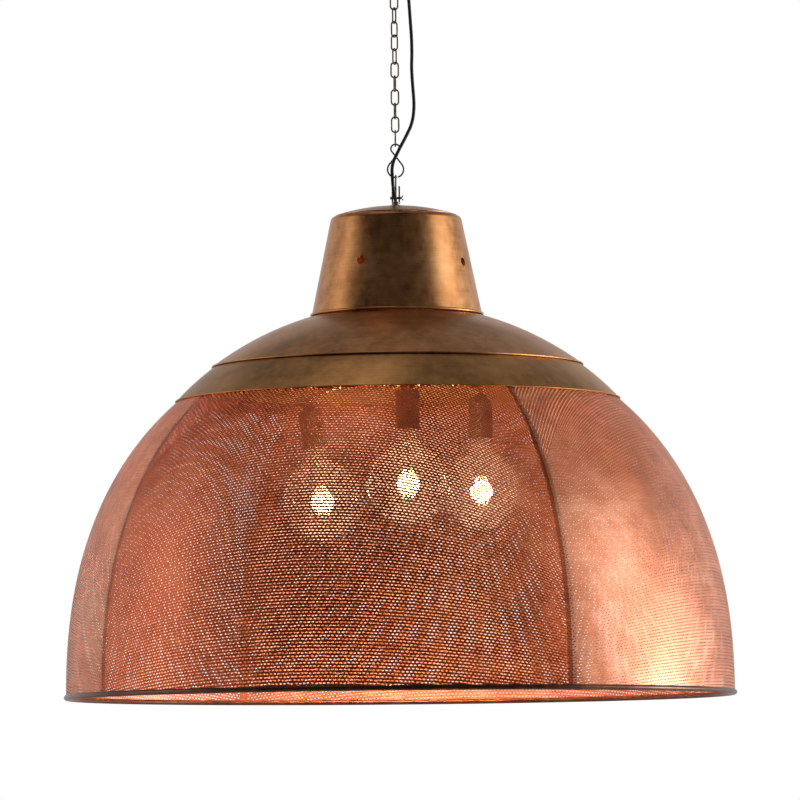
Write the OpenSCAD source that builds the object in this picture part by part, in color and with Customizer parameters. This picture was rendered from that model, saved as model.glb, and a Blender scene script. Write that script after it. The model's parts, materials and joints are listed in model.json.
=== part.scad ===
// Hanging lantern: a perforated dome under a spun shoulder and a tapered cap, on a chain.
// Heights below are measured up from the foot of the rim. The ceiling plane is the origin.

/* [Dome] */
// Outer diameter of the mesh dome at its rim
dome_d = 1016; // [900:2:1100]
// Height at which the dome's curve would close
dome_h = 560; // [540:1:580]
// Roundness of the dome's curve, where 2 is an ellipse
dome_power = 2.3; // [2.2:0.05:2.4]
// Thickness of the mesh sheet
mesh_t = 1; // [0.8:0.1:1.2]
// Direction of the first seam between two panels
seam_turn = 29.5; // [0:0.5:89]
// Radius of the rolled hem at the rim
hem_r = 4.2; // [4:0.1:5]

/* [Shoulder and cap] */
// Radius of the ball that the shoulder is a part of
shoulder_r = 470; // [460:1:480]
// Radius of the lip where the shoulder ends
lip_r = 282; // [270:1:290]
// Thickness of the spun sheet
sheet_t = 1.2; // [1:0.1:1.5]
// Radius of the cap at its foot
cap_foot_r = 130; // [125:1:135]
// Radius of the cap at its upper corner
cap_top_r = 100.5; // [95:1:105]
// Height of the cap's upper ledge
cap_top_z = 735; // [730:1:740]
// Diameter of the vent holes in the cap
vent_d = 13; // [8:1:16]
// Direction of the first vent hole
vent_turn = 62; // [0:1:89]

/* [Lamps] */
// Diameter of the glass globes
globe_d = 125; // [120:1:127]
// Height of the globes' centres
globe_z = 318.5; // [315:0.5:322]
// Radius of the circle that the sockets stand on
lamp_r = 150; // [145:1:155]
// Diameter of the arms' tube
arm_d = 10; // [7:0.5:10]
// Outer diameter of the sockets
husk_d = 36.6; // [36:0.2:40]

/* [Suspension] */
// Height of the ceiling above the foot of the rim
drop = 1130; // [1126:1:1140]
// Distance from one chain link to the next
link_pitch = 21; // [21:0.5:21]
// Thickness of the links' wire
link_wire = 2.5; // [2:0.1:2.6]
// Outer width of a link
link_w = 13.6; // [13:0.1:15]
// Thickness of the round flex
cord_d = 5.2; // [4.8:0.1:5.4]

/* [Ceiling fitting] */
// Diameter of the canopy
canopy_d = 127; // [115:1:150]
// Distance between the two screw holes in the crossbar
box_spacing = 88.9; // [83:0.1:90]

/* [Hidden] */
$fn = 48;
BIG_FN = 240;
FIT = 0.3;

// Suspension, from the lowest link upwards
LINKS = 11;
LINK_LONG = link_pitch + link_wire + FIT;
LINK_LOWEST_Z = 855.3;
LINK_TURNS = [0, 115, 40, 145, 63, 0, 80, 172, 80, 168, 90];
LINK_SEAM = 0.3;
HOOK_WIRE = 2.6;
HOOK_TOP_R = 7;
HOOK_LOW_R = 12.3;
HOOK_TOP_Z = LINK_LOWEST_Z - LINK_LONG / 2 + link_wire / 2 + HOOK_WIRE / 2 + FIT;
HOOK_LOW_Z = 795.2;
LONG_LINK_W = 12;
HOOK_GAP_AT = 280;
HOOK_GAP = 6;
HOOK_BOW = 1.5;
HOOK_BOW_POWER = 1.5;
PIN_R = 1.9;
PIN_Z = 763.5;
LOOP_WIRE = 4.4;
LOOP_R = 10.5;

// Cap and crown
CROWN_Z = 751;
CROWN_R = 92;
CAP_LEDGE_R = 86;
CAP_CORNER_R = 8;
CAP_FOOT_Z = 584.6;
BEAD_R = 2.2;
STEM_R = 4.9;
STEM_BORE_R = 3.4;
NUT_FLATS = 16;

// Shoulder and band
SHOULDER_Z = 130;
NECK_R = 112;
BAND_CENTRE = [42.5, 183.4];
BAND_R = 400;
BAND_TOP_R = 270;
BAND_FOOT_Z = 452.6;

// Dome
MESH_FOOT_Z = 7;
MESH_TOP_Z = 468;
MESH_STEPS = 26;
PANEL_GAP = 0.06;
SEAM_ANGLE = 1.6;
HEM_R0 = dome_d / 2 - 0.9;

// Lamps: direction and droop of each arm
ARM_DIRS = [-84.5, 32, 162];
ARM_DROOPS = [0, 0, 8];
HUB_R = 30;
HUB_FOOT_Z = 490;
HUB_TOP_Z = 522;
ARM_START = [24, 505];
ARM_SLOPE = 12;
ELBOW_R = 14;
HUSK_FOOT_Z = 399.6;
HUSK_TOP_Z = 467;
SHELL_R = 14.4;
BASE_R = 13;
NECK_GLASS_R = 16.4;
NECK_FILLET_R = 24;
GLASS_T = 0.9;
GLASS_TOP_Z = 414;

// Route of the flex: from inside the canopy, beside the chain, across the hook and into the crown
CORD_ROUTE = [
    [22, 0, 1118], [22, 0, 1104], [22, 0, 1090], [22, 0, 1076], [23, 0, 1062], [24, 0, 1046],
    [25, 0, 1030], [26, 0, 1014], [26.5, 0, 998], [26.5, 0, 982], [26, 0, 966], [26.5, 0, 950],
    [27.5, 0, 934], [28.5, 0, 920], [29, 0, 908], [28.5, -1, 896], [27, -2, 885], [24, -3.5, 874],
    [19.5, -5, 864], [14.5, -6, 854], [10, -7, 845.5], [6, -7.5, 838], [2, -7.5, 830],
    [-2, -6.5, 822], [-4.5, -4, 814], [-5.5, -0.3, 806.5], [-5.2, 4.5, 798.5], [-4.8, 8.3, 790],
    [-4, 11.3, 781], [-2.5, 14, 771], [-0.8, 16.4, 762], [0, 17, 755], [0, 17, 738]
];
CORD_SIDES = 10;
ARM_SIDES = 16;
CORD_CROWN_Y = 17;
CORD_CANOPY_X = 22;

// Half-width of the dome at a height, and the sheet's direction outwards there
function dome_r(z) = dome_d / 2 * pow(1 - pow(z / dome_h, dome_power), 1 / dome_power);
function dome_slope(z) = (dome_r(z + 0.5) - dome_r(z - 0.5));
function dome_out(z) = [1, -dome_slope(z)] / norm([1, -dome_slope(z)]);
function dome_point(z, depth) = [dome_r(z), z] - depth * dome_out(z);
function dome_step(i) = MESH_FOOT_Z + (MESH_TOP_Z - MESH_FOOT_Z) * i / MESH_STEPS;

// Rings of a tube swept along a route
function route_dir(p, i) = p[min(i + 1, len(p) - 1)] - p[max(i - 1, 0)];
function unit(v) = v / norm(v);
function across(t) = unit(cross(t, [0, 1, 0]));
function route_ring(p, i, r, sides) =
    let(t = unit(route_dir(p, i)), u = across(t), v = cross(t, u))
    [for (k = [0:sides - 1]) p[i] + r * (u * cos(360 * k / sides) + v * sin(360 * k / sides))];

module tube_along(p, r, sides) {
    n = len(p);
    points = [for (i = [0:n - 1]) each route_ring(p, i, r, sides)];
    sides_faces = [
        for (i = [0:n - 2], k = [0:sides - 1])
        [i * sides + k, i * sides + (k + 1) % sides, (i + 1) * sides + (k + 1) % sides,
            (i + 1) * sides + k]
    ];
    start_face = [for (k = [sides - 1:-1:0]) k];
    end_face = [for (k = [0:sides - 1]) (n - 1) * sides + k];
    polyhedron(points, concat([start_face], sides_faces, [end_face]));
}

// Puts what is drawn in heights above the rim below the ceiling plane
module hung() {
    translate([0, 0, -drop]) children();
}

module ring(r, bore, z0, z1) {
    difference() {
        translate([0, 0, z0]) cylinder(r = r, h = z1 - z0);
        translate([0, 0, z0 - 1]) cylinder(r = bore, h = z1 - z0 + 2);
    }
}

module hex_nut(bore, z0, z1) {
    difference() {
        translate([0, 0, z0]) cylinder(d = NUT_FLATS / cos(30), h = z1 - z0, $fn = 6);
        translate([0, 0, z0 - 1]) cylinder(r = bore, h = z1 - z0 + 2);
    }
}

// A round bar bent on an arc of radius r in the XZ plane, from angle a0 through a1 degrees
module bent_bar(r, wire, a0, a1) {
    rotate([90, 0, 0]) rotate([0, 0, a0])
        rotate_extrude(angle = a1 - a0) translate([r, 0]) circle(d = wire);
}

module straight_bar(from, to, d) {
    way = to - from;
    translate(from)
        rotate([0, acos(way[2] / norm(way)), atan2(way[1], way[0])])
            cylinder(d = d, h = norm(way));
}

// An oval link in the XZ plane, centred at the origin. long is the length of its centreline
module oval_link(long, wide, wire) {
    r = (wide - wire) / 2;
    half = long / 2 - r;
    translate([0, 0, half]) bent_bar(r, wire, 0, 180);
    translate([0, 0, -half]) bent_bar(r, wire, 180, 360);
    for (side = [-1, 1])
        straight_bar([side * r, 0, -half], [side * r, 0, half], wire);
}

/* Ceiling fitting */

module crossbar() {
    color("silver") difference() {
        translate([-56, -9, -2]) cube([112, 18, 2]);
        for (x = [-box_spacing / 2, box_spacing / 2])
            translate([x, 0, -3]) cylinder(r = 2.4, h = 4);
        translate([0, 0, -3]) cylinder(r = STEM_R + FIT, h = 4);
    }
}

module ceiling_nipple() {
    color("silver") hung() ring(STEM_R, STEM_BORE_R, 1101, 1129);
}

module ceiling_nut() {
    color("silver") hung() hex_nut(STEM_R + FIT / 2, 1121.5, 1127.7);
}

module canopy() {
    color("peru") difference() {
        rotate_extrude($fn = 96) difference() {
            union() {
                translate([0, -25]) square([canopy_d / 2 - 8, 25]);
                translate([canopy_d / 2 - 8, -17]) circle(r = 8);
                translate([0, -17]) square([canopy_d / 2, 17]);
            }
            translate([-1, -24]) square([canopy_d / 2 - 7, 25]);
            translate([canopy_d / 2 - 8, -17]) circle(r = 7);
            translate([-1, -17]) square([canopy_d / 2, 18]);
        }
        translate([0, 0, -27]) cylinder(r = 9.6, h = 5);
        translate([CORD_CANOPY_X, 0, -27]) cylinder(r = 4.5, h = 5);
    }
}

module canopy_collar() {
    color("peru") hung() difference() {
        rotate_extrude() union() {
            translate([9.4, 1100.5]) square([5.6, 4.2]);
            translate([15, 1102.6]) circle(r = 2.1);
        }
        translate([CORD_CANOPY_X, 0, 1099]) cylinder(r = 5.8, h = 7);
    }
}

module ceiling_loop() {
    loop_z = LINK_LOWEST_Z + (LINKS - 1) * link_pitch + LINK_LONG / 2
        - link_wire / 2 - FIT - LOOP_WIRE / 2 + LOOP_R;
    color("peru") hung() union() {
        translate([0, 0, loop_z]) rotate([0, 0, 90])
            bent_bar(LOOP_R, LOOP_WIRE, 0, 360);
        difference() {
            translate([0, 0, 1095.5]) cylinder(r = 9.1, h = 10.5);
            translate([0, 0, 1100]) cylinder(r = STEM_R + FIT / 2, h = 8);
        }
    }
}

module cord_relief() {
    color("black") hung() translate([CORD_CANOPY_X, 0, 0]) difference() {
        union() {
            translate([0, 0, 1082]) cylinder(r1 = 3.5, r2 = 4.7, h = 22.7);
            translate([0, 0, 1102.7]) cylinder(r = 5.4, h = 2);
            translate([0, 0, 1104]) cylinder(r = 4.2, h = 5);
        }
        translate([0, 0, 1081]) cylinder(r = cord_d / 2 + 0.2, h = 30);
    }
}

/* Chain */

module link(number) {
    z = LINK_LOWEST_Z + (LINKS - number) * link_pitch;
    color("darkkhaki") hung() translate([0, 0, z]) rotate([0, 0, LINK_TURNS[number - 1]])
        difference() {
            oval_link(LINK_LONG, link_w, link_wire);
            translate([link_w / 2 - link_wire - 1, -link_wire, 0])
                rotate([0, 20, 0]) cube([link_wire + 2, 2 * link_wire, LINK_SEAM]);
        }
}

// An open figure of eight, whose two crossing bars pass one in front of the other
function arc_route(centre, r, a0, a1, steps) = [
    for (i = [0:steps]) let(a = a0 + (a1 - a0) * i / steps) centre + r * [cos(a), 0, sin(a)]
];
function bar_route(from, to, side) = [
    for (t = [0.2:0.2:0.8])
    from + t * (to - from) + [0, side * HOOK_BOW * sin(180 * pow(t, HOOK_BOW_POWER)), 0]
];

module chain_hook() {
    top = [0, 0, HOOK_TOP_Z - HOOK_TOP_R];
    low = [0, 0, HOOK_LOW_Z + HOOK_LOW_R];
    lean = asin((HOOK_TOP_R + HOOK_LOW_R) / (top[2] - low[2]));
    right_arc = arc_route(low, HOOK_LOW_R, HOOK_GAP_AT + HOOK_GAP, 360 + lean, 9);
    over_arc = arc_route(top, HOOK_TOP_R, 180 + lean, -lean, 18);
    left_arc = arc_route(low, HOOK_LOW_R, 180 - lean, HOOK_GAP_AT, 12);
    rising_bar = bar_route(right_arc[9], over_arc[0], -1);
    falling_bar = bar_route(left_arc[0], over_arc[18], 1);
    route = concat(
        right_arc, rising_bar, over_arc, [for (i = [3:-1:0]) falling_bar[i]], left_arc);
    color("darkslategray") hung() tube_along(route, HOOK_WIRE / 2, CORD_SIDES);
}

module long_link() {
    z0 = PIN_Z - PIN_R - FIT - HOOK_WIRE;
    z1 = HOOK_LOW_Z + HOOK_WIRE / 2 + FIT + HOOK_WIRE;
    color("darkkhaki") hung() translate([0, 0, (z0 + z1) / 2]) rotate([0, 0, 90])
        oval_link(z1 - z0 - HOOK_WIRE, LONG_LINK_W, HOOK_WIRE);
}

module clevis() {
    color("darkkhaki") hung() difference() {
        union() {
            translate([0, 0, 752.5]) cylinder(r = 6.5, h = 5);
            intersection() {
                for (x = [-6.5, 4])
                    translate([x, -4.5, 757]) cube([2.5, 9, 26]);
                union() {
                    translate([-7, 0, 777.5]) rotate([0, 90, 0]) cylinder(r = 4.5, h = 14);
                    translate([-7, -4.5, 757]) cube([14, 9, 20.5]);
                }
            }
        }
        translate([-8, 0, PIN_Z]) rotate([0, 90, 0]) cylinder(r = PIN_R + 0.05, h = 16);
        translate([0, 0, 751]) cylinder(r = STEM_R + 0.1, h = 5.5);
    }
}

// The cross pin, with a winged head on the right
module clevis_pin() {
    color("darkkhaki") hung() translate([0, 0, PIN_Z]) union() {
        rotate([0, 90, 0]) translate([0, 0, -7.6]) cylinder(r = PIN_R, h = 15.4);
        translate([-8.6, 0, 0]) rotate([0, 90, 0]) cylinder(r = 2.6, h = 1.2);
        for (side = [-1, 1])
            translate([7.2, -1, 0]) rotate([0, side * 38, 0])
                translate([0, 0, side > 0 ? 0 : -5.4]) cube([1.6, 2, 5.4]);
    }
}

module stem_washers() {
    color("silver") hung() union() {
        ring(9, STEM_R + 0.1, CROWN_Z + 0.2, CROWN_Z + 1.4);
        ring(12, STEM_R + 0.1, 747.8, 749.2);
        ring(12, STEM_R + 0.1, 579.8, 581.4);
        ring(9, STEM_R + 0.1, HUB_TOP_Z + 0.1, HUB_TOP_Z + 1.3);
    }
}

module stem_nuts() {
    color("silver") hung() union() {
        hex_nut(STEM_R + 0.1, 740.8, 747.6);
        hex_nut(STEM_R + 0.1, 572.8, 579.6);
        hex_nut(STEM_R + 0.1, HUB_TOP_Z + 1.5, HUB_TOP_Z + 8);
    }
}

module stem() {
    color("silver") hung() ring(STEM_R, STEM_BORE_R, 507, 756);
}

/* Cap, crown and shoulder */

module crown_profile(t) {
    ball_r = (CROWN_R * CROWN_R + 14.4 * 14.4) / (2 * 14.4);
    intersection() {
        translate([0, CROWN_Z - ball_r]) difference() {
            circle(r = ball_r, $fn = BIG_FN);
            circle(r = ball_r - t, $fn = BIG_FN);
        }
        translate([0, CROWN_Z - 20]) square([CROWN_R, 30]);
    }
}

module cap_crown() {
    color("peru") hung() difference() {
        rotate_extrude($fn = 120) crown_profile(1);
        translate([0, 0, 740]) cylinder(r = STEM_R + 0.2, h = 20);
        translate([0, CORD_CROWN_Y, 740]) cylinder(r = 4.4, h = 20);
    }
}

module crown_bushing() {
    color("black") hung() translate([0, CORD_CROWN_Y, 0]) difference() {
        union() {
            translate([0, 0, 746]) cylinder(r = 4.1, h = 6);
            translate([0, 0, CROWN_Z + 0.1]) cylinder(r1 = 5.5, r2 = 4.4, h = 4);
        }
        translate([0, 0, 745]) cylinder(r = cord_d / 2 + 0.4, h = 12);
    }
}

// The tapered wall runs from the rolled foot to a round corner and a ledge for the crown
module cap() {
    corner = [cap_top_r - CAP_CORNER_R, cap_top_z - CAP_CORNER_R];
    lean = atan((cap_foot_r - cap_top_r) / (corner[1] - CAP_FOOT_Z));
    edge = [cos(lean), sin(lean)];
    wall_top = corner + CAP_CORNER_R * edge;
    color("peru") hung() difference() {
        rotate_extrude($fn = 144) union() {
            intersection() {
                translate(corner) difference() {
                    circle(r = CAP_CORNER_R, $fn = 64);
                    circle(r = CAP_CORNER_R - sheet_t, $fn = 64);
                }
                polygon([
                    corner, corner + 20 * edge, corner + [20, 20], corner + [0, 20]
                ]);
            }
            translate([CAP_LEDGE_R, cap_top_z - sheet_t])
                square([corner[0] - CAP_LEDGE_R + 0.01, sheet_t]);
            polygon([
                wall_top, wall_top - sheet_t * edge,
                [cap_foot_r - sheet_t, CAP_FOOT_Z], [cap_foot_r, CAP_FOOT_Z]
            ]);
            translate([cap_foot_r + 0.3, CAP_FOOT_Z]) circle(r = BEAD_R, $fn = 32);
        }
        for (quarter = [0:3])
            rotate([0, 0, vent_turn + 90 * quarter])
                translate([60, 0, 660]) rotate([0, 90, 0]) cylinder(d = vent_d, h = 90);
    }
}

module shoulder() {
    color("peru") hung() rotate_extrude($fn = BIG_FN) union() {
        intersection() {
            translate([0, SHOULDER_Z]) difference() {
                circle(r = shoulder_r, $fn = 2 * BIG_FN);
                circle(r = shoulder_r - sheet_t, $fn = 2 * BIG_FN);
            }
            translate([NECK_R, SHOULDER_Z + 300]) square([lip_r - NECK_R, 200]);
        }
        translate([lip_r + 0.5, SHOULDER_Z + sqrt(pow(shoulder_r, 2) - pow(lip_r, 2)) - 0.4])
            circle(r = 1.3, $fn = 24);
    }
}

module band() {
    foot_r = BAND_CENTRE[0] + sqrt(pow(BAND_R, 2) - pow(BAND_FOOT_Z - BAND_CENTRE[1], 2));
    color("peru") hung() rotate_extrude($fn = BIG_FN) union() {
        intersection() {
            translate(BAND_CENTRE) difference() {
                circle(r = BAND_R, $fn = 2 * BIG_FN);
                circle(r = BAND_R - sheet_t, $fn = 2 * BIG_FN);
            }
            translate([BAND_TOP_R, BAND_FOOT_Z]) square([200, 100]);
        }
        translate([foot_r + 0.2, BAND_FOOT_Z + 0.6]) circle(r = 1, $fn = 24);
    }
}

// The plate under the neck, with three wide vents round the stem
module neck_plate() {
    color("peru") hung() difference() {
        translate([0, 0, 581.6]) cylinder(r = 118, h = 1.6, $fn = 120);
        translate([0, 0, 580]) cylinder(r = STEM_R + 0.2, h = 5);
        for (third = [0:2])
            rotate([0, 0, 120 * third]) translate([68, 0, 580]) cylinder(r = 32, h = 5);
    }
}

/* Dome */

module dome_sheet(depth0, depth1, angle) {
    outer = [for (i = [0:MESH_STEPS]) dome_point(dome_step(i), depth0)];
    inner = [for (i = [MESH_STEPS:-1:0]) dome_point(dome_step(i), depth1)];
    rotate_extrude(angle = angle, $fn = BIG_FN) polygon(concat(outer, inner));
}

module mesh_panel(number) {
    color("orangered") hung()
        rotate([0, 0, seam_turn + 90 * (number - 1) + PANEL_GAP / 2])
            dome_sheet(0, mesh_t, 90 - PANEL_GAP);
}

module seam_strips() {
    color("saddlebrown") hung() for (quarter = [0:3])
        rotate([0, 0, seam_turn + 90 * quarter - SEAM_ANGLE / 2])
            dome_sheet(mesh_t + 0.2, 2 * mesh_t + 0.2, SEAM_ANGLE);
}

module rim_hem() {
    color("saddlebrown") hung() rotate_extrude($fn = BIG_FN) difference() {
        translate([HEM_R0, hem_r]) circle(r = hem_r, $fn = 32);
        translate([HEM_R0, hem_r]) circle(r = hem_r - 1.4, $fn = 32);
        translate([HEM_R0 - 2.6, MESH_FOOT_Z - 0.5]) square([3.8, 4]);
    }
}

module rim_wire() {
    color("gray") hung() rotate_extrude($fn = BIG_FN)
        translate([HEM_R0, hem_r - 0.4]) circle(r = hem_r - 2, $fn = 24);
}

/* Lamps */

module hub() {
    color("saddlebrown") hung() difference() {
        translate([0, 0, HUB_FOOT_Z]) cylinder(r = HUB_R, h = HUB_TOP_Z - HUB_FOOT_Z, $fn = 64);
        translate([0, 0, HUB_FOOT_Z - 1]) cylinder(r = HUB_R - 1.5, h = 31, $fn = 64);
        translate([0, 0, HUB_FOOT_Z]) cylinder(r = STEM_R + 0.1, h = 40);
        for (i = [0:2])
            rotate([0, 0, ARM_DIRS[i]]) translate([ARM_START[0], 0, ARM_START[1]])
                rotate([0, 90 + ARM_SLOPE + ARM_DROOPS[i], 0])
                    translate([0, 0, -8]) cylinder(d = arm_d + 0.2, h = 20);
    }
}

module hub_cover() {
    color("saddlebrown") hung() difference() {
        union() {
            translate([0, 0, HUB_FOOT_Z - 1.6]) cylinder(r = HUB_R, h = 1.5, $fn = 64);
            translate([0, 0, HUB_FOOT_Z - 5.6]) cylinder(r1 = 19, r2 = HUB_R - 2, h = 4.1, $fn = 64);
        }
        translate([0, 0, HUB_FOOT_Z - 7]) cylinder(r = 2.2, h = 9);
    }
}

module hub_screw() {
    color("saddlebrown") hung() union() {
        translate([0, 0, HUB_FOOT_Z - 5.8]) cylinder(r = 2, h = 28);
        translate([0, 0, HUB_FOOT_Z - 8]) cylinder(r = 4.2, h = 2.3);
    }
}

// Places what is drawn on a lamp's own line, at x = 0 and in heights above the rim
module on_lamp(i) {
    rotate([0, 0, ARM_DIRS[i]])
        translate([ARM_START[0], 0, ARM_START[1]]) rotate([0, ARM_DROOPS[i], 0])
            translate([lamp_r - ARM_START[0], 0, -ARM_START[1]]) children();
}

// Route of an arm's tube: a slanted run, an elbow and an end that stands in the socket
function elbow_point(a) =
    let(run = lamp_r - ELBOW_R + ELBOW_R * sin(ARM_SLOPE) - ARM_START[0],
        z = ARM_START[1] - run * tan(ARM_SLOPE) - ELBOW_R * cos(ARM_SLOPE))
    [ELBOW_R * (cos(a) - 1), 0, z + ELBOW_R * sin(a)];

module arm(i) {
    elbow = [for (k = [0:7]) elbow_point((90 - ARM_SLOPE) * (1 - k / 7))];
    start = [ARM_START[0] - lamp_r, 0, ARM_START[1]];
    end = [0, 0, HUSK_TOP_Z - 7];
    color("saddlebrown") hung() on_lamp(i)
        tube_along(concat([start], elbow, [end]), arm_d / 2, ARM_SIDES);
}

// The dark sleeve of a socket, with rounded shoulders and a hole for the arm's end
module socket(i) {
    mouth = husk_d / 2;
    color("darkslategray") hung() on_lamp(i) difference() {
        rotate_extrude() difference() {
            union() {
                translate([0, HUSK_FOOT_Z]) square([mouth, 55.4]);
                translate([mouth - 4, HUSK_FOOT_Z + 55.4]) circle(r = 4);
                translate([0, HUSK_FOOT_Z]) square([mouth - 4, 59.4]);
                translate([0, HUSK_FOOT_Z]) square([9.5, HUSK_TOP_Z - HUSK_FOOT_Z]);
            }
            translate([-1, HUSK_FOOT_Z - 1]) square([mouth, 12]);
            translate([-1, HUSK_FOOT_Z]) square([SHELL_R + 1.4, 45.2]);
        }
        translate([0, 0, HUSK_TOP_Z - 7.5]) cylinder(d = arm_d + 0.2, h = 10);
        translate([0, 0, HUSK_TOP_Z - 22]) cylinder(r = 5, h = 15);
    }
}

module socket_shells() {
    color("gold") hung() for (i = [0:2])
        on_lamp(i) ring(SHELL_R, BASE_R + FIT, HUSK_FOOT_Z + 11.5, HUSK_FOOT_Z + 36);
}

module socket_contacts() {
    color("gold") hung() for (i = [0:2])
        on_lamp(i) union() {
            translate([0, 0, HUSK_FOOT_Z + 40.6]) cylinder(r = SHELL_R, h = 4.2);
            translate([0, 0, HUSK_FOOT_Z + 39.2]) cylinder(r = 3, h = 2);
        }
}

// The screw cap of a bulb, with rolled threads, an insulator and a centre contact
module bulb_base(i) {
    color("silver") hung() on_lamp(i) difference() {
        rotate_extrude() union() {
            translate([0, 411]) square([BASE_R - 0.6, 22]);
            for (turn = [0:4])
                translate([BASE_R - 0.9, 414.4 + 3.6 * turn]) circle(r = 0.9, $fn = 16);
            polygon([[0, 433], [BASE_R - 0.6, 433], [6, 436.6], [4, 438], [0, 438]]);
        }
        translate([0, 0, 410]) cylinder(r = BASE_R - 1.2, h = 21);
    }
}

// Outline of the glass, drawn d inside its outer face: ball, hollow fillet, neck and top
function arc_points(centre, r, a0, a1, steps) =
    [for (i = [0:steps]) let(a = a0 + (a1 - a0) * i / steps) centre + r * [cos(a), sin(a)]];
function glass_line(d) =
    let(ball_r = globe_d / 2,
        neck_x = NECK_GLASS_R + NECK_FILLET_R,
        rise = sqrt(pow(ball_r + NECK_FILLET_R, 2) - pow(neck_x, 2)),
        lean = atan(rise / neck_x),
        top_r = BASE_R - 1.4 - d)
    concat(
        arc_points([0, globe_z], ball_r - d, -90, lean, 32),
        arc_points([neck_x, globe_z + rise], NECK_FILLET_R + d, 180 + lean, 180, 8),
        [[NECK_GLASS_R - d, globe_z + rise + 5], [top_r, GLASS_TOP_Z - 4],
            [top_r, GLASS_TOP_Z - d], [0, GLASS_TOP_Z - d]]);

module globe(i) {
    inner = glass_line(GLASS_T);
    inner_back = [for (k = [len(inner) - 1:-1:0]) inner[k]];
    color("lightyellow") hung() on_lamp(i) rotate_extrude($fn = 96)
        polygon(concat(glass_line(0), inner_back));
}

// The glass stem and the four lit rods that it holds
module filament(i) {
    color("gold") hung() on_lamp(i) union() {
        translate([0, 0, 352]) cylinder(r1 = 2.4, r2 = 5.2, h = 60.8);
        translate([0, 0, 342]) cylinder(r = 1.2, h = 12);
        translate([0, 0, 341]) cylinder(r = 6, h = 1.2);
        for (quarter = [0:3])
            rotate([0, 0, 90 * quarter + 45])
                straight_bar([5, 0, 341.6], [8, 0, 300], 1.8);
        translate([0, 0, 299.2]) cylinder(r = 9, h = 1.2);
    }
}

module cord() {
    color("black") hung() tube_along(CORD_ROUTE, cord_d / 2, CORD_SIDES);
}

crossbar();
ceiling_nipple();
ceiling_nut();
canopy();
canopy_collar();
ceiling_loop();
cord_relief();
link(1);  // link_01
link(2);  // link_02
link(3);  // link_03
link(4);  // link_04
link(5);  // link_05
link(6);  // link_06
link(7);  // link_07
link(8);  // link_08
link(9);  // link_09
link(10);  // link_10
link(11);  // link_11
chain_hook();
long_link();
clevis();
clevis_pin();
stem_washers();
stem_nuts();
stem();
cap_crown();
crown_bushing();
cap();
shoulder();
band();
neck_plate();
mesh_panel(1);  // mesh_panel_1
mesh_panel(2);  // mesh_panel_2
mesh_panel(3);  // mesh_panel_3
mesh_panel(4);  // mesh_panel_4
seam_strips();
rim_hem();
rim_wire();
hub();
hub_cover();
hub_screw();
arm(0);  // arm_1
arm(1);  // arm_2
arm(2);  // arm_3
socket(0);  // socket_1
socket(1);  // socket_2
socket(2);  // socket_3
socket_shells();
socket_contacts();
bulb_base(0);  // bulb_base_1
bulb_base(1);  // bulb_base_2
bulb_base(2);  // bulb_base_3
globe(0);  // globe_1
globe(1);  // globe_2
globe(2);  // globe_3
filament(0);  // filament_1
filament(1);  // filament_2
filament(2);  // filament_3
cord();
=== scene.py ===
import json
import math

import bpy
import numpy as np
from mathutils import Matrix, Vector


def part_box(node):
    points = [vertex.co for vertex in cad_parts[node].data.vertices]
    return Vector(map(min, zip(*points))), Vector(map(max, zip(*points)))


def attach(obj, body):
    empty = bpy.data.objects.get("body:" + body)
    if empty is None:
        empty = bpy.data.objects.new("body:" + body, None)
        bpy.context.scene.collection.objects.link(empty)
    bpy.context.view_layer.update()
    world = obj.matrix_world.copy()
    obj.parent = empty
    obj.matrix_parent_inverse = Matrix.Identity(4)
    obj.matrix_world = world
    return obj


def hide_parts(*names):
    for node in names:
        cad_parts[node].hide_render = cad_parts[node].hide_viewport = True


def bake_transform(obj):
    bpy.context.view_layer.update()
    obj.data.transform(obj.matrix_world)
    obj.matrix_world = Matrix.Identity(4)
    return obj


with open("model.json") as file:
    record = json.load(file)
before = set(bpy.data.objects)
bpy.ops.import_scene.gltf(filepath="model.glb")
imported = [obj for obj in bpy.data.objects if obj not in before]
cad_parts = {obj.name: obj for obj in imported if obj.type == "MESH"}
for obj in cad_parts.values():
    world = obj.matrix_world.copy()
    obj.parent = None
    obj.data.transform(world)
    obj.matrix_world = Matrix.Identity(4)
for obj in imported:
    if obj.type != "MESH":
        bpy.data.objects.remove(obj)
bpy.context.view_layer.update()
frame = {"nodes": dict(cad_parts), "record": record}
scene = bpy.context.scene

RIM_Z = float(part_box("rim_hem")[0][2])

# The dome: a superellipse in section, and the heights that the mesh covers.
HEM_REACH = 0.0033
DOME_R = float(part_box("rim_hem")[1][0]) - HEM_REACH
DOME_H = 0.560
DOME_POWER = 2.3
MESH_SPAN = (0.0072, 0.4665)
LINE_STEPS = 1500

# The mesh: four sheets, which stand at the back, left, front and right, and four narrow strips behind their
# joints, at the back right, back left, front left and front right. The lists below are in these orders, and
# FRONT_PANEL and FRONT_SEAMS are places in them.
QUARTER = math.pi / 2
SEAM_TURN = math.radians(29.5)
SEAM_HALF_TURN = math.radians(0.8)
JOINT_GAP = 0.0004
PANEL_DEPTH, SEAM_DEPTH = 0.0001, 0.0013
ROW_SHARES = ((0.0, 0.29), (0.29, 0.61), (0.61, 1.0))

# The holes: distance along a row and between rows, half width and half height, and how far they stray from
# the pattern, as shares of the two distances. ROW_CURVE is how much more the rows sag than the dome's slope
# alone would make them, also as a slope.
PITCH, ROW = 0.006, 0.0049
HOLE = (0.00212, 0.00135)
STRAY = (0.045, 0.03)
SHEET_T = 0.0004
ROW_CURVE = 0.2

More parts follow.
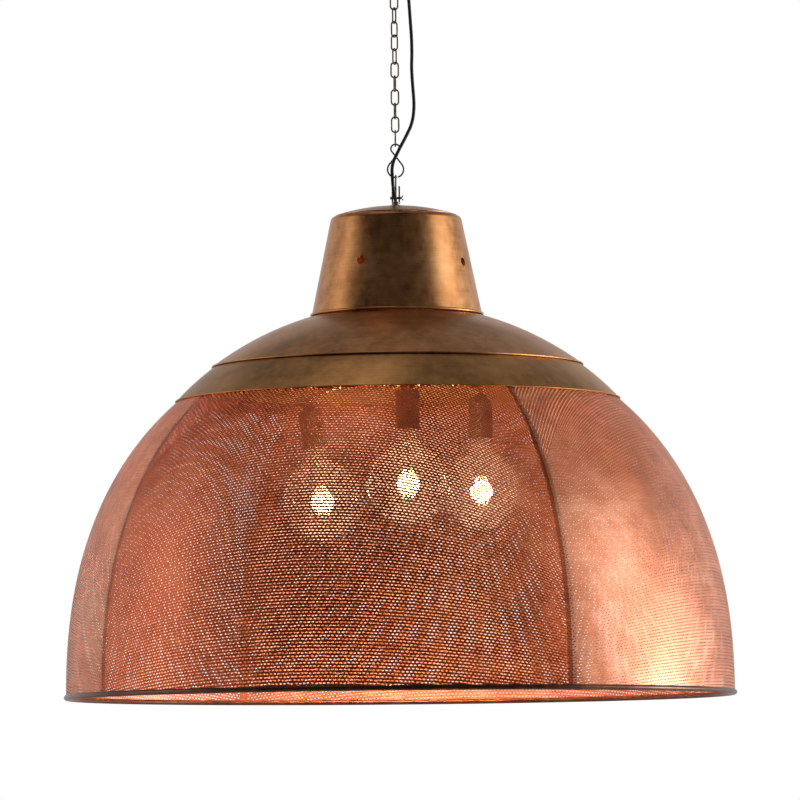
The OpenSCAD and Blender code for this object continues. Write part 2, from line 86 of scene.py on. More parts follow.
# Rows are laid past the sheet's edges and held within them: more rows at the top, where the sides sag, and
# longer rows, because their ends reach a lower and wider part of the dome. Faces under SLIVER are left out.
# Known flaw: many faces of holes past an edge are larger than SLIVER, so they stay, flat in the sheet's edge
# and on top of each other.
TOP_MARGIN = 1.35
END_DROP = 0.2
EDGE_SHARE = 0.45
SLIVER = 2e-9
PANEL_HOLES = (0.68, 0.88, 1.0, 0.88)
SEAM_HOLES = (0.95, 0.95, 0.5, 0.5)
# The FRONT_PANEL sheet is drawn in a darker copy of the mesh copper: painted shade on the front.
FRONT_PANEL = 2
# The FRONT_SEAMS strips are drawn in the dark copper: painted shade on the front.
FRONT_SEAMS = (2, 3)


def up(z):
    """The frame's height of a point that far above the rim's foot."""
    return RIM_Z + z


# ---------------------------------------------------------------- camera

camera = bpy.data.objects.new("camera", bpy.data.cameras.new("camera"))
scene.collection.objects.link(camera)
camera.location = (0.0, -9.4, up(-0.2))
aim = Vector((0.0034, 0.0, up(0.454)))
way = aim - camera.location
camera.rotation_euler = way.to_track_quat("-Z", "Y").to_euler()
camera.rotation_euler.rotate_axis("Z", math.radians(-0.54))
camera.data.lens = 278
camera.data.sensor_width = 36
camera.data.clip_end = 60
scene.camera = camera


# ---------------------------------------------------------------- mesh helpers

def mesh_object(name, points, faces, smooth=True):
    """A new piece from points and faces."""
    mesh = bpy.data.meshes.new(name)
    mesh.from_pydata([tuple(p) for p in points], [], [tuple(f) for f in faces])
    mesh.polygons.foreach_set("use_smooth", [smooth] * len(mesh.polygons))
    mesh.update()
    piece = bpy.data.objects.new(name, mesh)
    scene.collection.objects.link(piece)
    return piece


def smooth_route(points, spacing):
    """Points along a smooth curve through the given ones, evenly spaced."""
    p = [Vector(q) for q in points]
    p = [p[0] * 2 - p[1]] + p + [p[-1] * 2 - p[-2]]
    fine = []
    for a, b, c, d in zip(p, p[1:], p[2:], p[3:]):
        for k in range(12):
            t = k / 12
            fine.append(0.5 * (2 * b + (c - a) * t + (2 * a - 5 * b + 4 * c - d) * t * t
                               + (3 * b - a - 3 * c + d) * t ** 3))
    fine.append(p[-2])
    lengths = [0.0]
    for a, b in zip(fine, fine[1:]):
        lengths.append(lengths[-1] + (b - a).length)
    count = max(3, round(lengths[-1] / spacing))
    even, k = [], 0
    for i in range(count + 1):
        want = lengths[-1] * i / count
        while k < len(fine) - 2 and lengths[k + 1] < want:
            k += 1
        t = (want - lengths[k]) / max(lengths[k + 1] - lengths[k], 1e-9)
        even.append(fine[k].lerp(fine[k + 1], min(max(t, 0), 1)))
    return even


def tube(name, route, radius, sides):
    """A round tube along a route, with closed ends."""
    points, faces = [], []
    normal = None
    for i, p in enumerate(route):
        way = (route[min(i + 1, len(route) - 1)] - route[max(i - 1, 0)]).normalized()
        if normal is None:
            normal = way.orthogonal().normalized()
        normal = (normal - way * normal.dot(way)).normalized()
        side = way.cross(normal)
        for k in range(sides):
            a = 2 * math.pi * k / sides
            points.append(p + radius * (math.cos(a) * normal + math.sin(a) * side))
    for i in range(len(route) - 1):
        for k in range(sides):
            j = (k + 1) % sides
            faces.append((i * sides + k, i * sides + j, (i + 1) * sides + j, (i + 1) * sides + k))
    faces.append([k for k in reversed(range(sides))])
    faces.append([(len(route) - 1) * sides + k for k in range(sides)])
    return mesh_object(name, points, faces)


def lathe(name, outline, turns):
    """A surface turned about Z from an outline of (r, z) points; points on the axis close it."""
    points, faces, rings = [], [], []
    for r, z in outline:
        if r < 1e-6:
            rings.append([len(points)])
            points.append((0, 0, z))
            continue
        rings.append(list(range(len(points), len(points) + turns)))
        for k in range(turns):
            a = 2 * math.pi * k / turns
            points.append((r * math.cos(a), r * math.sin(a), z))
    for low, high in zip(rings, rings[1:]):
        for k in range(turns):
            j = (k + 1) % turns
            quad = [low[k % len(low)], low[j % len(low)], high[j % len(high)], high[k % len(high)]]
            quad = list(dict.fromkeys(quad))
            if len(quad) > 2:
                faces.append(quad)
    return mesh_object(name, points, faces)


def arc(cx, cz, r, a0, a1, steps):
    """Points on an arc from angle a0 to a1 in degrees."""
    return [(cx + r * math.cos(math.radians(a0 + (a1 - a0) * i / steps)),
             cz + r * math.sin(math.radians(a0 + (a1 - a0) * i / steps))) for i in range(steps + 1)]


# ---------------------------------------------------------------- material helpers

class Nodes:
    """Short names for building one material's nodes."""

    def __init__(self, name):
        self.material = bpy.data.materials.new(name)
        self.material.use_nodes = True
        self.tree = self.material.node_tree
        self.shader = self.tree.nodes["Principled BSDF"]

    def add(self, kind, **values):
        node = self.tree.nodes.new(kind)
        for key, value in values.items():
            setattr(node, key, value)
        return node

    def link(self, a, b):
        self.tree.links.new(a, b)

    def place(self):
        return self.add("ShaderNodeTexCoord").outputs["Object"]

    def noise(self, vector, scale, detail=3.0, rough=0.5):
        node = self.add("ShaderNodeTexNoise")
        node.inputs["Scale"].default_value = scale
        node.inputs["Detail"].default_value = detail
        node.inputs["Roughness"].default_value = rough
        self.link(vector, node.inputs["Vector"])
        return node.outputs["Fac"]

    def ramp(self, value, stops):
        node = self.add("ShaderNodeValToRGB")
        elements = node.color_ramp.elements
        while len(elements) < len(stops):
            elements.new(0.5)
        for element, (at, colour) in zip(elements, stops):
            element.position = at
            element.color = (*colour, 1)
        self.link(value, node.inputs["Fac"])
        return node.outputs["Color"]

    def span(self, value, low, high, to_low, to_high):
        node = self.add("ShaderNodeMapRange")
        for key, number in (("From Min", low), ("From Max", high), ("To Min", to_low), ("To Max", to_high)):
            node.inputs[key].default_value = number
        self.link(value, node.inputs["Value"])
        return node.outputs["Result"]

    def math(self, operation, a, b=None):
        node = self.add("ShaderNodeMath", operation=operation)
        for socket, value in zip(node.inputs, (a, b)):
            if isinstance(value, (int, float)):
                socket.default_value = value
            elif value is not None:
                self.link(value, socket)
        return node.outputs[0]

    def blend(self, factor, a, b):
        node = self.add("ShaderNodeMix", data_type="RGBA")
        for socket, value in ((node.inputs[0], factor), (node.inputs[6], a), (node.inputs[7], b)):
            if isinstance(value, (int, float)):
                socket.default_value = value
            elif isinstance(value, tuple):
                socket.default_value = (*value, 1)
            else:
                self.link(value, socket)
        return node.outputs[2]

    def spun(self, lines):
        """Coordinates that run round the axis, so that noise becomes fine turned lines."""
        split = self.add("ShaderNodeSeparateXYZ")
        self.link(self.place(), split.inputs[0])
        x, y, z = split.outputs
        radius = self.math("SQRT", self.math("ADD", self.math("MULTIPLY", x, x), self.math("MULTIPLY", y, y)))
        join = self.add("ShaderNodeCombineXYZ")
        self.link(self.math("MULTIPLY", radius, lines), join.inputs[0])
        self.link(self.math("MULTIPLY", z, lines), join.inputs[1])
        self.link(self.math("MULTIPLY", self.math("ARCTAN2", y, x), 1.5), join.inputs[2])
        return join.outputs[0]

    def bump(self, height, depth, strength=1.0):
        node = self.add("ShaderNodeBump")
        node.inputs["Strength"].default_value = strength
        node.inputs["Distance"].default_value = depth
        self.link(height, node.inputs["Height"])
        self.link(node.outputs[0], self.shader.inputs["Normal"])

    def set(self, **values):
        names = {"metal": "Metallic", "rough": "Roughness", "ior": "IOR", "clear": "Transmission Weight",
                 "colour": "Base Color", "glow": "Emission Color", "glow_strength": "Emission Strength",
                 "specular": "Specular IOR Level"}
        for key, value in values.items():
            socket = self.shader.inputs[names[key]]
            if isinstance(value, tuple):
                socket.default_value = (*value, 1)
            elif isinstance(value, (int, float)):
                socket.default_value = value
            else:
                self.link(value, socket)


def aged_metal(name, dark, mid, light, metal, rough, patch=9.0, lines=900.0):
    """Metal with cloudy patina, fine turned lines, small pits and an uneven polish."""
    n = Nodes(name)
    place = n.place()
    cloud = n.noise(place, patch, 5.0, 0.62)
    mottle = n.noise(place, patch * 7, 4.0, 0.6)
    fleck = n.noise(place, 420, 2.0, 0.7)
    turned = n.noise(n.spun(lines), 1.0, 2.0, 0.5)
    mixed = n.math("ADD", n.math("MULTIPLY", cloud, 0.55), n.math("MULTIPLY", mottle, 0.3))
    mixed = n.math("ADD", mixed, n.math("MULTIPLY", turned, 0.15))
    colour = n.ramp(mixed, [(0.34, dark), (0.5, mid), (0.66, light)])
    specks = n.span(fleck, 0.66, 0.78, 0.0, 0.65)
    n.set(colour=n.blend(specks, colour, tuple(0.45 * c for c in dark)), metal=metal)
    uneven = n.math("ADD", n.math("MULTIPLY", mottle, 0.6), n.math("MULTIPLY", turned, 0.4))
    n.set(rough=n.span(uneven, 0.3, 0.7, *rough))
    height = n.math("ADD", n.math("MULTIPLY", turned, 0.4), n.math("MULTIPLY", fleck, 0.3))
    n.bump(height, 0.0001)
    return n.material


def cast_metal(name, dark, light, metal=0.85, rough=(0.3, 0.55), scale=160.0, worn=None):
    """Small cast or drawn fittings: patchy tarnish, rubbed where it stands out, and fine pits."""
    n = Nodes(name)
    place = n.place()
    cloud = n.noise(place, scale, 4.0, 0.6)
    fine = n.noise(place, scale * 9, 3.0, 0.6)
    mixed = n.math("ADD", n.math("MULTIPLY", cloud, 0.7), n.math("MULTIPLY", fine, 0.3))
    colour = n.ramp(mixed, [(0.36, dark), (0.64, light)])
    if worn:
        rubbed = n.span(n.add("ShaderNodeNewGeometry").outputs["Pointiness"], 0.5, 0.56, 0.0, 0.7)
        colour = n.blend(n.math("MULTIPLY", rubbed, cloud), colour, worn)
    n.set(colour=colour, metal=metal, rough=n.span(mixed, 0.35, 0.65, *rough))
    n.bump(fine, 0.00005)
    return n.material


def clear_glass(name):
    """Glass that lets lamplight through its shadow, with faint blown ripples and a trace of dust."""
    n = Nodes(name)
    n.set(colour=(1.0, 1.0, 1.0), clear=0.995, rough=0.0, ior=1.45)
    ripple = n.noise(n.place(), 28.0, 2.0, 0.4)
    n.bump(ripple, 0.00012, 0.35)
    light = n.add("ShaderNodeLightPath")
    see = n.add("ShaderNodeBsdfTransparent")
    see.inputs[0].default_value = (1, 1, 1, 1)
    mix = n.add("ShaderNodeMixShader")
    n.link(light.outputs["Is Shadow Ray"], mix.inputs[0])
    n.link(n.shader.outputs[0], mix.inputs[1])
    n.link(see.outputs[0], mix.inputs[2])
    n.link(mix.outputs[0], n.tree.nodes["Material Output"].inputs[0])
    return n.material


def rubber(name, tone):
    """Black flex and bushings: a soft sheen, faint draw lines and dust in the low spots."""
    n = Nodes(name)
    place = n.place()
    dust = n.noise(place, 70.0, 4.0, 0.6)
    fine = n.noise(place, 1500.0, 2.0, 0.6)
    n.set(colour=n.ramp(dust, [(0.35, tuple(0.6 * c for c in tone)), (0.7, tuple(1.9 * c for c in tone))]),
          rough=n.span(dust, 0.3, 0.7, 0.32, 0.55), specular=0.45)
    n.bump(fine, 0.00003)
    return n.material


def lit(name, colour, strength):
    """A glowing wire."""
    n = Nodes(name)
    n.set(colour=colour, rough=0.4, glow=colour, glow_strength=strength)
    return n.material


COPPER = aged_metal("aged_copper", (0.24, 0.098, 0.036), (0.52, 0.23, 0.082), (0.70, 0.37, 0.17),
                    metal=0.95, rough=(0.26, 0.42))
BAND = aged_metal("aged_copper_band", (0.20, 0.095, 0.032), (0.45, 0.21, 0.066), (0.62, 0.32, 0.12),
                  metal=0.95, rough=(0.3, 0.46))
MESH = aged_metal("copper_mesh", (0.31, 0.105, 0.055), (0.52, 0.215, 0.12), (0.76, 0.41, 0.28),
                  metal=0.94, rough=(0.34, 0.48), patch=4.0, lines=500.0)
# A darker copy of the mesh copper, for the front sheet only: painted shade.
SHADED_FRONT_MESH = aged_metal("shaded_front_copper_mesh", (0.24, 0.040, 0.013), (0.43, 0.090, 0.032), (0.62, 0.19, 0.085),
                       metal=0.94, rough=(0.3, 0.44), patch=4.0, lines=500.0)
# Dark copper for the dark_copper parts, and for the two front seam strips as painted shade.
EDGE = aged_metal("dark_copper", (0.06, 0.026, 0.016), (0.13, 0.06, 0.036), (0.24, 0.12, 0.07),
                  metal=0.9, rough=(0.26, 0.42))
BRONZE = cast_metal("bronze_tube", (0.08, 0.038, 0.02), (0.2, 0.1, 0.055), worn=(0.36, 0.2, 0.11))
SOCKET = cast_metal("dark_socket", (0.016, 0.009, 0.006), (0.05, 0.027, 0.018), worn=(0.12, 0.07, 0.045),
                    metal=0.4)
BRASS = cast_metal("antique_brass", (0.06, 0.042, 0.024), (0.21, 0.155, 0.09), worn=(0.48, 0.37, 0.22),
                   rough=(0.24, 0.42))
STEEL = cast_metal("dark_steel", (0.03, 0.026, 0.023), (0.11, 0.095, 0.08), worn=(0.3, 0.26, 0.2),
                   rough=(0.25, 0.45))
ZINC = cast_metal("zinc_steel", (0.42, 0.42, 0.42), (0.62, 0.62, 0.6), metal=1.0)
CONTACT = cast_metal("bare_brass", (0.45, 0.32, 0.14), (0.72, 0.53, 0.28), metal=1.0)
TIN = cast_metal("bulb_cap", (0.5, 0.49, 0.47), (0.75, 0.74, 0.71), metal=1.0)
RUBBER = rubber("black_rubber", (0.018, 0.018, 0.019))
FLEX = rubber("black_flex", (0.012, 0.012, 0.013))
GLASS = clear_glass("clear_glass")
GLOW = lit("lit_filament", (1.0, 0.66, 0.30), 160.0)

SLOT_MATERIALS = {
    "aged_copper": COPPER, "copper_mesh": MESH, "dark_copper": EDGE, "bronze_tube": BRONZE,
    "dark_socket": SOCKET, "antique_brass": BRASS, "dark_steel": STEEL, "zinc_steel": ZINC,
    "bare_brass": CONTACT, "bulb_cap": TIN, "black_rubber": RUBBER, "black_flex": FLEX,
    "clear_glass": GLASS, "lit_filament": GLOW,
}


def dress(piece, material):
    """Gives a piece that one material."""
    piece.data.materials.clear()
    piece.data.materials.append(material)


for part in frame["record"]["subparts"]:
    dress(frame["nodes"][part["node"]], SLOT_MATERIALS[part["material_slot"]])
dress(frame["nodes"]["band"], BAND)


def finish_piece(piece, material, body):
    """Material and body of a piece."""
    dress(piece, material)
    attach(piece, body)


# ---------------------------------------------------------------- the flex

CORD_R = 0.0026
CORD_SIDES = 20
CORD_STEP = 0.003

# Points on the flex in millimetres: x, y and the height above the rim's foot.
CORD_ROUTE = [
    (22, 0, 1118), (22, 0, 1104), (22, 0, 1090), (22, 0, 1076), (23, 0, 1062), (24, 0, 1046),
    (25, 0, 1030), (26, 0, 1014), (26.5, 0, 998), (26.5, 0, 982), (26, 0, 966), (26.5, 0, 950),
    (27.5, 0, 934), (28.5, 0, 920), (29, 0, 908), (28.5, -1, 896), (27, -2, 885), (24, -3.5, 874),
    (19.5, -5, 864), (14.5, -6, 854), (10, -7, 845.5), (6, -7.5, 838), (2, -7.5, 830),
    (-2, -6.5, 822), (-4.5, -4, 814), (-5.5, -0.3, 806.5), (-5.2, 4.5, 798.5), (-4.8, 8.3, 790),
    (-4, 11.3, 781), (-2.5, 14, 771), (-0.8, 16.4, 762), (0, 17, 755), (0, 17, 738),
]
route = smooth_route([(x / 1000, y / 1000, up(z / 1000)) for x, y, z in CORD_ROUTE], CORD_STEP)

# Name, body above and below, heights of the two ends, and heights between which the joint bends it.
SECTIONS = [
    ("cord_canopy", "ceiling", "top_link", 1.118, 1.066, 1.104, 1.076),
    ("cord_chain", "top_link", "chain", 1.066, 0.870, 1.064, 1.036),
    ("cord_hook", "chain", "hook", 0.870, 0.800, 0.858, 0.826),
    ("cord_crown", "hook", "shade", 0.800, 0.738, 0.790, 0.760),
]
for name, above, below, top, foot, start, end in SECTIONS:
    first = min(range(len(route)), key=lambda i: abs(route[i].z - up(top)))
    last = min(range(len(route)), key=lambda i: abs(route[i].z - up(foot)))
    path = route[first:last + 1]
    piece = tube(name, path, CORD_R, CORD_SIDES)
    dress(piece, FLEX)
    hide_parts("cord")
    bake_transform(piece)


# ---------------------------------------------------------------- the perforated dome

def dome_radius(z):
    """Outer radius of the dome at a height above the rim's foot."""
    return DOME_R * (1 - (z / DOME_H) ** DOME_POWER) ** (1 / DOME_POWER)


def sheet_line(depth):
    """Radius and height along the sheet's meridian, that far inside its outer face."""
    z = np.linspace(*MESH_SPAN, LINE_STEPS)
    r = dome_radius(z)
    slope = np.gradient(r, z)
    size = np.hypot(1, slope)
    return r - depth / size, z + depth * slope / size


# The six corners of one hole's cell, in half pitches and half corner radii, in the order of the hole's own.
CORNERS = ((0, 2), (-1, 1), (-1, -1), (0, -2), (1, -1), (1, 1))


def perforated(name, turn, half_turn, depth, share=(0.0, 1.0), hole_size=1.0):
    """Part of a sheet on the dome, punched with holes in a staggered pattern, each with its own wall.
    share is the part of the sheet's rows that it takes, counted from the rim. The rows were straight in the
    flat sheet, so on the dome they sag towards both of its sides."""
    r_line, z_line = sheet_line(depth)
    deep = sheet_line(depth + SHEET_T)
    s_line = np.concatenate([[0], np.cumsum(np.hypot(np.diff(r_line), np.diff(z_line)))])
    r_slope = np.gradient(r_line, s_line)
    corner_r = ROW / 1.5
    sag = (r_slope - ROW_CURVE) / r_line / 2
    rows = int((s_line[-1] - sag[-1] * (half_turn * r_line[-1] * TOP_MARGIN) ** 2) / ROW) + 3
    j_all, k_all = [], []
    for j in range(round(rows * share[0]), round(rows * share[1])):
        reach = half_turn * np.interp(ROW * j - END_DROP, s_line, r_line)
        k = np.arange(-int(reach / PITCH) - 2, int(reach / PITCH) + 3)
        k = k[np.abs(k * PITCH + (j % 2) * PITCH / 2) < reach + EDGE_SHARE * PITCH]
        k_all.append(k)
        j_all.append(np.full(len(k), j))
    j, k = np.concatenate(j_all), np.concatenate(k_all)
    cell_x, cell_y = 2 * k + j % 2, 3 * j

    def land(u, s, line=(r_line, z_line)):
        """Points on the dome for distances along a row and up the sheet, held within its edges."""
        s = np.clip(s + np.interp(s, s_line, sag) * u ** 2, 0, s_line[-1])
        a = np.clip(u / np.interp(s, s_line, r_line), -half_turn, half_turn) + turn
        r = np.interp(s, s_line, line[0])
        return np.stack([r * np.cos(a), r * np.sin(a), up(np.interp(s, s_line, line[1]))], axis=-1)

    keys = np.stack([np.stack([cell_x + dx, cell_y + dy], axis=-1) for dx, dy in CORNERS], axis=1)
    flat, inverse = np.unique(keys.reshape(-1, 2), axis=0, return_inverse=True)
    corner = inverse.reshape(-1, 6)
    outer = land(flat[:, 0] * PITCH / 2, flat[:, 1] * corner_r / 2)
    hand = np.random.default_rng(round(math.degrees(turn)) % 360).normal(0, 1, (2, len(j)))
    u_mid = cell_x * PITCH / 2 + hand[0] * STRAY[0] * PITCH
    s_mid = cell_y * corner_r / 2 + hand[1] * STRAY[1] * ROW
    lean = u_mid / np.interp(s_mid, s_line, r_line) * np.interp(s_mid, s_line, r_slope)
    rim, foot = [], []
    for i in range(6):
        a = math.radians(90 + 60 * i)
        du = hole_size * HOLE[0] * math.cos(a) / math.cos(math.radians(30))
        ds = hole_size * HOLE[1] * math.sin(a)
        rim.append(land(u_mid + du + lean * ds, s_mid + ds))
        foot.append(land(u_mid + du + lean * ds, s_mid + ds, deep))
    rim, foot = (np.stack(v, axis=1).reshape(-1, 3) for v in (rim, foot))
    points = np.concatenate([outer, rim, rim, foot])
    hole, lip, base = (len(outer) + (m * len(j) * 6) + np.arange(len(j) * 6).reshape(-1, 6) for m in range(3))
    quads = []
    for i in range(6):
        after = (i + 1) % 6
        quads.append(np.stack([corner[:, i], corner[:, after], hole[:, after], hole[:, i]], axis=-1))
        quads.append(np.stack([lip[:, i], lip[:, after], base[:, after], base[:, i]], axis=-1))
    quads = np.concatenate(quads)
    p = points[quads]
    area = np.linalg.norm(np.cross(p[:, 2] - p[:, 0], p[:, 3] - p[:, 1]), axis=-1) / 2
    quads = quads[area > SLIVER]
    used, renumbered = np.unique(quads, return_inverse=True)
    points, quads = points[used], renumbered.reshape(-1, 4)
    mesh = bpy.data.meshes.new(name)
    mesh.vertices.add(len(points))
    mesh.vertices.foreach_set("co", points.astype(np.float32).ravel())
    mesh.loops.add(quads.size)
    mesh.loops.foreach_set("vertex_index", quads.astype(np.int32).ravel())
    mesh.polygons.add(len(quads))
    mesh.polygons.foreach_set("loop_start", np.arange(0, quads.size, 4, dtype=np.int32))
    mesh.polygons.foreach_set("use_smooth", np.ones(len(quads), bool))
    mesh.update(calc_edges=True)
    piece = bpy.data.objects.new(name, mesh)
    scene.collection.objects.link(piece)
    return piece


for number in range(4):
    middle = SEAM_TURN + QUARTER * number + QUARTER / 2
    for part, share in enumerate(ROW_SHARES):
        panel = perforated(f"mesh_{number + 1}_{part + 1}", middle, QUARTER / 2 - JOINT_GAP, PANEL_DEPTH,
                           share, hole_size=PANEL_HOLES[number])
        # The front sheet takes the darker copy of the copper: painted shade.
        finish_piece(panel, SHADED_FRONT_MESH if number == FRONT_PANEL else MESH, "shade")
        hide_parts(f"mesh_panel_{number + 1}")
    strip = perforated(f"seam_{number + 1}", SEAM_TURN + QUARTER * number, SEAM_HALF_TURN, SEAM_DEPTH,
                       hole_size=SEAM_HOLES[number])
    # The two front strips take the dark copper as painted shade; the back ones take the mesh copper.
    finish_piece(strip, EDGE if number in FRONT_SEAMS else MESH, "shade")
    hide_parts("seam_strips")


# ---------------------------------------------------------------- bulbs

# The lamps: distance from the axis, where each arm leaves the hub, and each lamp's direction and droop in
# degrees.
LAMP_R = 0.150
ARM_START = (0.024, 0.505)
LAMPS = [(-84.5, 0.0), (32.0, 0.0), (162.0, 8.0)]


def lamp_place(x, y, z, index):
    """Where a point made at a lamp's own axis, at a height above the rim's foot, comes to lie."""
    direction, droop = (math.radians(v) for v in LAMPS[index])
    x, z = x + LAMP_R - ARM_START[0], z - ARM_START[1]
    x, z = x * math.cos(droop) + z * math.sin(droop), -x * math.sin(droop) + z * math.cos(droop)
    x, z = x + ARM_START[0], z + ARM_START[1]
    return (x * math.cos(direction) - y * math.sin(direction),
            x * math.sin(direction) + y * math.cos(direction), up(z))


def stand_on_lamp(piece, index):
    """Moves a piece made at x = 0, in heights above the rim's foot, on to a lamp's own line."""
    for vertex in piece.data.vertices:
        vertex.co = lamp_place(*vertex.co, index)
    piece.data.update()
    return piece


# One bulb, upright on its own axis, in radii and heights above the rim's foot: the globe and its neck, the
# glass stem, the glowing strands that twist a little, the two hoops that hold them, the leads and the light.
GLOBE_R, GLOBE_Z, GLASS_T = 0.0625, 0.3185, 0.0009
GLOBE_TURNS, STEM_TURNS = 128, 40
NECK_R, FILLET_R, TOP_Z, TOP_R = 0.0164, 0.024, 0.414, 0.0116
STEM_LINE = [(0, 0.336), (0.0016, 0.3362), (0.0020, 0.341), (0.0021, 0.370), (0.0034, 0.384),
             (0.0052, 0.398), (0.0088, 0.4105), (0, 0.4125)]
STRAND_LINE = [(0.0055, 0.3405), (0.0095, 0.333), (0.0112, 0.319), (0.0108, 0.306), (0.0075, 0.2955)]
STRANDS, STRAND_R, STRAND_TURN, STRAND_START = 8, 0.00055, 0.5, 0.2
STRAND_STEP, LEAD_STEP = 0.0018, 0.002
HOOPS = ((0.0056, 0.3405), (0.0076, 0.2955))
HOOP_R, LEAD_R = 0.0004, 0.00035
LEAD_LINE = ((0.0015, 0.405), (0.0016, 0.375), (0.002, 0.347), (0.0056, 0.3405))
LIGHT_Z, LIGHT_R, LIGHT_WATTS, LIGHT_COLOUR = 0.317, 0.018, 15.5, (1.0, 0.60, 0.33)


def glass_line(depth):
    """Outline of the globe's glass, that far inside its outer face."""
    neck_x = NECK_R + FILLET_R
    rise = math.sqrt((GLOBE_R + FILLET_R) ** 2 - neck_x ** 2)
    lean = math.degrees(math.atan2(rise, neck_x))
    ball = arc(0, GLOBE_Z, GLOBE_R - depth, -90, lean, 60)
    ball[0] = (0.0, ball[0][1])
    return (ball + arc(neck_x, GLOBE_Z + rise, FILLET_R + depth, 180 + lean, 180, 14)[1:]
            + [(NECK_R - depth, GLOBE_Z + rise + 0.005), (TOP_R - depth, TOP_Z - 0.004),
               (TOP_R - depth, TOP_Z - depth), (0.0, TOP_Z - depth)])


for index in range(3):
    body, n = f"bulb_{index + 1}", index + 1
    globe = lathe(f"glass_{n}", glass_line(0), GLOBE_TURNS)
    inner = lathe(f"glass_inner_{n}", glass_line(GLASS_T)[::-1], GLOBE_TURNS)
    offset = len(globe.data.vertices)
    points = [v.co.copy() for v in globe.data.vertices] + [v.co.copy() for v in inner.data.vertices]
    faces = [tuple(p.vertices) for p in globe.data.polygons]
    faces += [tuple(offset + v for v in p.vertices) for p in inner.data.polygons]
    for old in (globe, inner):
        bpy.data.objects.remove(old)
    globe = stand_on_lamp(mesh_object(f"globe_glass_{n}", points, faces), index)
    finish_piece(globe, GLASS, body)
    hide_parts(f"globe_{n}")
    stem = stand_on_lamp(lathe(f"stem_glass_{n}", STEM_LINE, STEM_TURNS), index)
    finish_piece(stem, GLASS, body)
    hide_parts(f"filament_{n}")
    for k in range(STRANDS):
        a = 2 * math.pi * k / STRANDS + STRAND_START
        line = smooth_route([(r * math.cos(a + STRAND_TURN * i / 4), r * math.sin(a + STRAND_TURN * i / 4), z)
                             for i, (r, z) in enumerate(STRAND_LINE)], STRAND_STEP)
        strand = stand_on_lamp(tube(f"filament_{n}_{k + 1}", line, STRAND_R, 8), index)
        finish_piece(strand, GLOW, body)
    for k, (r, z) in enumerate(HOOPS):
        line = [Vector((r * math.cos(a), r * math.sin(a), z)) for a in np.linspace(0, 2 * math.pi, 25)]
        hoop = stand_on_lamp(tube(f"hoop_{n}_{k + 1}", line, HOOP_R, 8), index)
        finish_piece(hoop, CONTACT, body)
    for k, side in enumerate((1, -1)):
        line = smooth_route([(side * x, 0, z) for x, z in LEAD_LINE], LEAD_STEP)
        lead = stand_on_lamp(tube(f"lead_{n}_{k + 1}", line, LEAD_R, 6), index)
        finish_piece(lead, CONTACT, body)
    lamp = bpy.data.lights.new(f"lamp_{n}", "POINT")
    lamp.energy = LIGHT_WATTS
    lamp.color = LIGHT_COLOUR
    lamp.shadow_soft_size = LIGHT_R
    point = bpy.data.objects.new(f"lamp_{n}", lamp)
    scene.collection.objects.link(point)
    point.location = lamp_place(0, 0, LIGHT_Z, index)
    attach(point, body)


# ---------------------------------------------------------------- floor, lights and world

floor = mesh_object("floor", [(-3, -0.7, 0), (3, -0.7, 0), (3, 5, 0), (-3, 5, 0)], [(0, 1, 2, 3)],
                    smooth=False)
floor.location.z = up(-1.3)
paint = Nodes("floor_paint")
clouds = paint.noise(paint.place(), 1.2, 4.0)
paint.set(colour=paint.ramp(clouds, [(0.3, (0.80, 0.80, 0.79)), (0.7, (0.86, 0.86, 0.85))]), rough=0.75)
paint.bump(paint.noise(paint.place(), 180.0, 3.0), 0.0004)
dress(floor, paint.material)


def softbox(name, place, size, watts, colour=(1, 1, 1)):
    """A rectangular studio light, aimed at the middle of the lantern."""
    light = bpy.data.lights.new(name, "AREA")
    light.shape = "RECTANGLE"
    light.size, light.size_y = size
    light.energy = watts
    light.color = colour
    holder = bpy.data.objects.new(name, light)
    scene.collection.objects.link(holder)
    holder.location = place
    aim = Vector((0, 0, up(0.4)))
    holder.rotation_euler = (aim - Vector(place)).to_track_quat("-Z", "Y").to_euler()


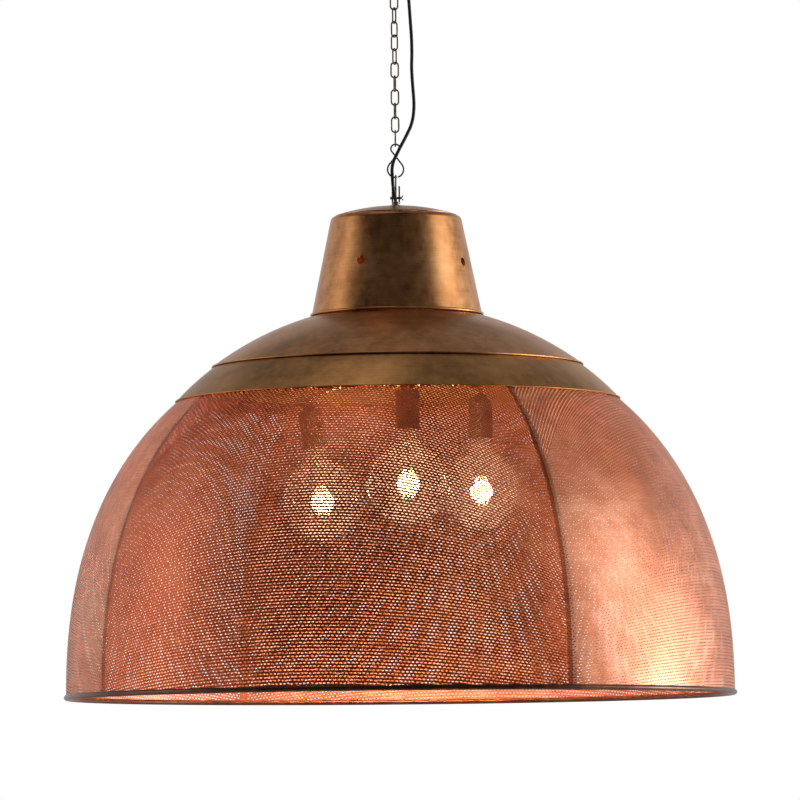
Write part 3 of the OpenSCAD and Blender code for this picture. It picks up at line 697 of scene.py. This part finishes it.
softbox("side_right", (4.6, 0.7, up(0.2)), (1.6, 1.8), 90)
softbox("wall_right", (4.6, -0.7, up(1.6)), (2.6, 2.8), 48)
softbox("side_left", (-4.6, -0.3, up(1.7)), (1.6, 2.2), 14, (0.98, 0.98, 1.0))
softbox("top", (-0.8, -0.4, up(3.6)), (1.6, 1.6), 6)

# The room is dark in front of the lantern, bright at its sides and behind it, and darker overhead. The camera
# itself sees white.
world = bpy.data.worlds.new("studio")
scene.world = world
world.use_nodes = True
tree = world.node_tree
tree.nodes.clear()
out = tree.nodes.new("ShaderNodeOutputWorld")
mix = tree.nodes.new("ShaderNodeMixShader")
ray = tree.nodes.new("ShaderNodeLightPath")
seen = tree.nodes.new("ShaderNodeBackground")
around = tree.nodes.new("ShaderNodeBackground")
split = tree.nodes.new("ShaderNodeSeparateXYZ")
tree.links.new(tree.nodes.new("ShaderNodeTexCoord").outputs["Generated"], split.inputs[0])


def studio_band(axis, stops):
    """Brightness of the room along one axis of the direction, from -1 to 1."""
    span = tree.nodes.new("ShaderNodeMapRange")
    span.inputs["From Min"].default_value = -1
    span.inputs["From Max"].default_value = 1
    tree.links.new(split.outputs[axis], span.inputs["Value"])
    band = tree.nodes.new("ShaderNodeValToRGB")
    for element, (value, grey) in zip(band.color_ramp.elements, stops):
        element.position = value / 2 + 0.5
        element.color = (grey, grey, grey, 1)
    tree.links.new(span.outputs[0], band.inputs[0])
    return band.outputs[0]


room = tree.nodes.new("ShaderNodeMixRGB")
room.blend_type = "MULTIPLY"
room.inputs[0].default_value = 1.0
tree.links.new(studio_band(1, [(-0.55, 0.105), (-0.05, 0.86)]), room.inputs[1])
tree.links.new(studio_band(2, [(0.3, 1.0), (0.62, 0.34)]), room.inputs[2])
tree.links.new(room.outputs[0], around.inputs[0])
around.inputs[1].default_value = 0.9
seen.inputs[0].default_value = (1, 1, 1, 1)
tree.links.new(ray.outputs["Is Camera Ray"], mix.inputs[0])
tree.links.new(around.outputs[0], mix.inputs[1])
tree.links.new(seen.outputs[0], mix.inputs[2])
tree.links.new(mix.outputs[0], out.inputs[0])
scene.view_settings.view_transform = "Standard"
